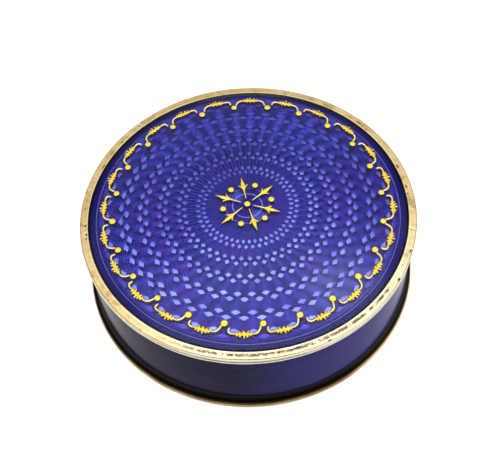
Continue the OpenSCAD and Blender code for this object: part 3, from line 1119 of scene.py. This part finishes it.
def swag(chance, mirrored, joined):
    """One swag, drawn across +X: a band of small pointed leaves between two scroll stems. A stem
    ends on the bead beside it or, as a hook, just short of it."""
    foil = Foil()
    mid = LEAF_CIRCLE_R
    for side in (-1, 1):
        foil.strip(
            curve((mid, 0), (mid + 0.04, 0.6 * side), (mid - 0.08, 1.2 * side), 8),
            taper(0.2, 0.18, 0.08, 8),
        )
        for start, way, reach in SWAG_LEAVES:
            out = way * reach * chance.uniform(0.88, 1.12)
            foil.strip(
                curve(
                    (mid + way * 0.04, start * side),
                    (mid + out * 0.7, (start + 0.02) * side),
                    (mid + out, (start + 0.1) * side), 4,
                ),
                taper(0.15, 0.13, 0.06, 4),
            )
        foot = (mid - 0.06, 1.1 * side)
        touching = joined or (side < 0) == mirrored
        if touching:
            foil.strip(
                curve(foot, (mid - 0.02, 2.05 * side), (mid - 1.2, 2.2 * side), 12),
                taper(0.09, 0.125, 0.11, 12), STEM,
            )
        else:
            hook = (mid - 0.6, 2.01 * side), (mid - 0.8, 1.98 * side), (mid - 0.86, 1.88 * side)
            line = curve(foot, (mid + 0.02, 2.0 * side), (mid - 0.5, 2.02 * side), 10)
            line += curve(*hook, 4)
            foil.strip(line, taper(0.09, 0.125, 0.09, len(line) - 1), STEM)
    foil.strip(
        curve((mid + 0.2, 0.05), (mid + 0.4, 0.07), (mid + 0.6, 0.1), 4),
        taper(0.1, 0.09, 0.08, 4), STEM,
    )
    return foil


def tip_angle(node):
    """Direction of the CAD node's outermost point."""
    far = max(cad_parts[node].data.vertices, key=lambda v: v.co.x**2 + v.co.y**2).co
    return math.atan2(far.y, far.x)


def foils():
    chance = random.Random(24)
    dot = Foil()
    dot.bead(0.0, 0.0, BEAD_R)
    dot.make("star_centre", ["centre_dot"])
    for i in range(1, STAR_POINTS + 1):
        arrow().make(f"arrow_{i}", [f"star_arrow_{i}"], tip_angle(f"star_arrow_{i}"))
        low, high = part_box(f"star_dot_{i}")
        centre = (low + high) / 2 / MM
        spot = Foil()
        spot.bead(centre.x, centre.y, (high.x - low.x) / 2 / MM)
        spot.make(f"dot_{i}", [f"star_dot_{i}"])
    beads = Foil()
    for i in range(SWAGS):
        a = math.tau * (i + 0.5) / SWAGS + chance.uniform(-0.004, 0.004)
        r = BEAD_CIRCLE_R + chance.uniform(-0.06, 0.06)
        beads.bead(r * math.cos(a), r * math.sin(a), BEAD_R + chance.uniform(-0.03, 0.02))
    beads.make("garland_beads", ["border_beads"])
    for i in range(SWAGS):
        angle = math.tau * i / SWAGS
        top_swag = i == SWAGS // 4
        right_back = i < SWAGS // 4
        swag(chance, right_back, top_swag).make(
            f"garland_swag_{i + 1:02d}", [f"swag_{i + 1:02d}"],
            angle + chance.uniform(-0.004, 0.004), chance.uniform(-0.05, 0.05), LEAF_FOIL,
        )


foot_ring()
floor_plate()
wall()
mouth_ring()
lid_rim()
lid_plaque()
lid_enamel()
lid_underside()
foils()


# ---------------------------------------------------------------- floor, light and camera
def studio_floor():
    """A pale sheet that glows a little near the box, so that its edges stay light."""
    s = Shader("pale_floor").place()
    speck = s.noise(s.at, 0.02, 2.0)
    tone = s.mix(speck, colour(0.36, 0.36, 0.37), colour(0.4, 0.4, 0.4))
    s.surface(
        Base_Color=tone, Roughness=0.9, Emission_Color=colour(1.0, 1.0, 1.0),
        Emission_Strength=s.ramp(s.r, *FLOOR_GLOW_R, FLOOR_GLOW, 0.0),
    )
    half = FLOOR_HALF * MM
    corners = [(-half, -half, 0), (half, -half, 0), (half, half, 0), (-half, half, 0)]
    mesh = bpy.data.meshes.new("studio_floor")
    mesh.from_pydata(corners, [], [(0, 1, 2, 3)])
    mesh.materials.append(s.material)
    floor = bpy.data.objects.new("studio_floor", mesh)
    bpy.context.scene.collection.objects.link(floor)


def studio_light():
    """A light tent: bright overhead, dimmer low down, darkest behind the camera."""
    world = bpy.data.worlds.new("light_tent")
    bpy.context.scene.world = world
    s = Nodes(world)
    direction = s.node("ShaderNodeTexCoord").outputs["Generated"]
    up = s.node("ShaderNodeSeparateXYZ", {0: direction}).outputs[2]
    cap = s.ramp(s.vector("DOT_PRODUCT", direction, CAP_CENTRE), *CAP_EDGE, 0.0, CAP_LEVEL)
    tent = s.ramp(up, *TENT_EDGE, *TENT_LEVEL)
    shade = s.ramp(s.vector("DOT_PRODUCT", direction, FRONT), *FRONT_EDGE, 1.0, FRONT_SHADE)
    strength = s.times(s.math("ADD", cap, tent), shade)
    background = s.node("ShaderNodeBackground", {"Color": colour(1, 1, 1), "Strength": strength})
    s.node("ShaderNodeOutputWorld", {"Surface": background.outputs[0]})


def camera():
    """Stands where the photographer did: in front, 55 degrees up, 134 mm from the lid."""
    azimuth, elevation, roll = [math.radians(angle) for angle in CAMERA_ANGLES]
    back = Vector((
        math.sin(azimuth) * math.cos(elevation),
        -math.cos(azimuth) * math.cos(elevation),
        math.sin(elevation),
    ))
    right = Vector((math.cos(azimuth), math.sin(azimuth), 0.0))
    up = back.cross(right)
    rolled_right = right * math.cos(roll) + up * math.sin(roll)
    rolled_up = back.cross(rolled_right)
    turn = Matrix((rolled_right, rolled_up, back)).transposed().to_4x4()
    data = bpy.data.cameras.new("camera")
    data.sensor_width = 36.0
    data.lens = CAMERA_LENS
    data.clip_start = 0.005
    data.clip_end = 20.0
    cam = bpy.data.objects.new("camera", data)
    cam.matrix_world = Matrix.Translation((CAMERA_AIM + back * CAMERA_DISTANCE) * MM) @ turn
    bpy.context.scene.collection.objects.link(cam)
    bpy.context.scene.camera = cam


studio_floor()
studio_light()
camera()
bpy.context.scene.view_settings.view_transform = "Standard"
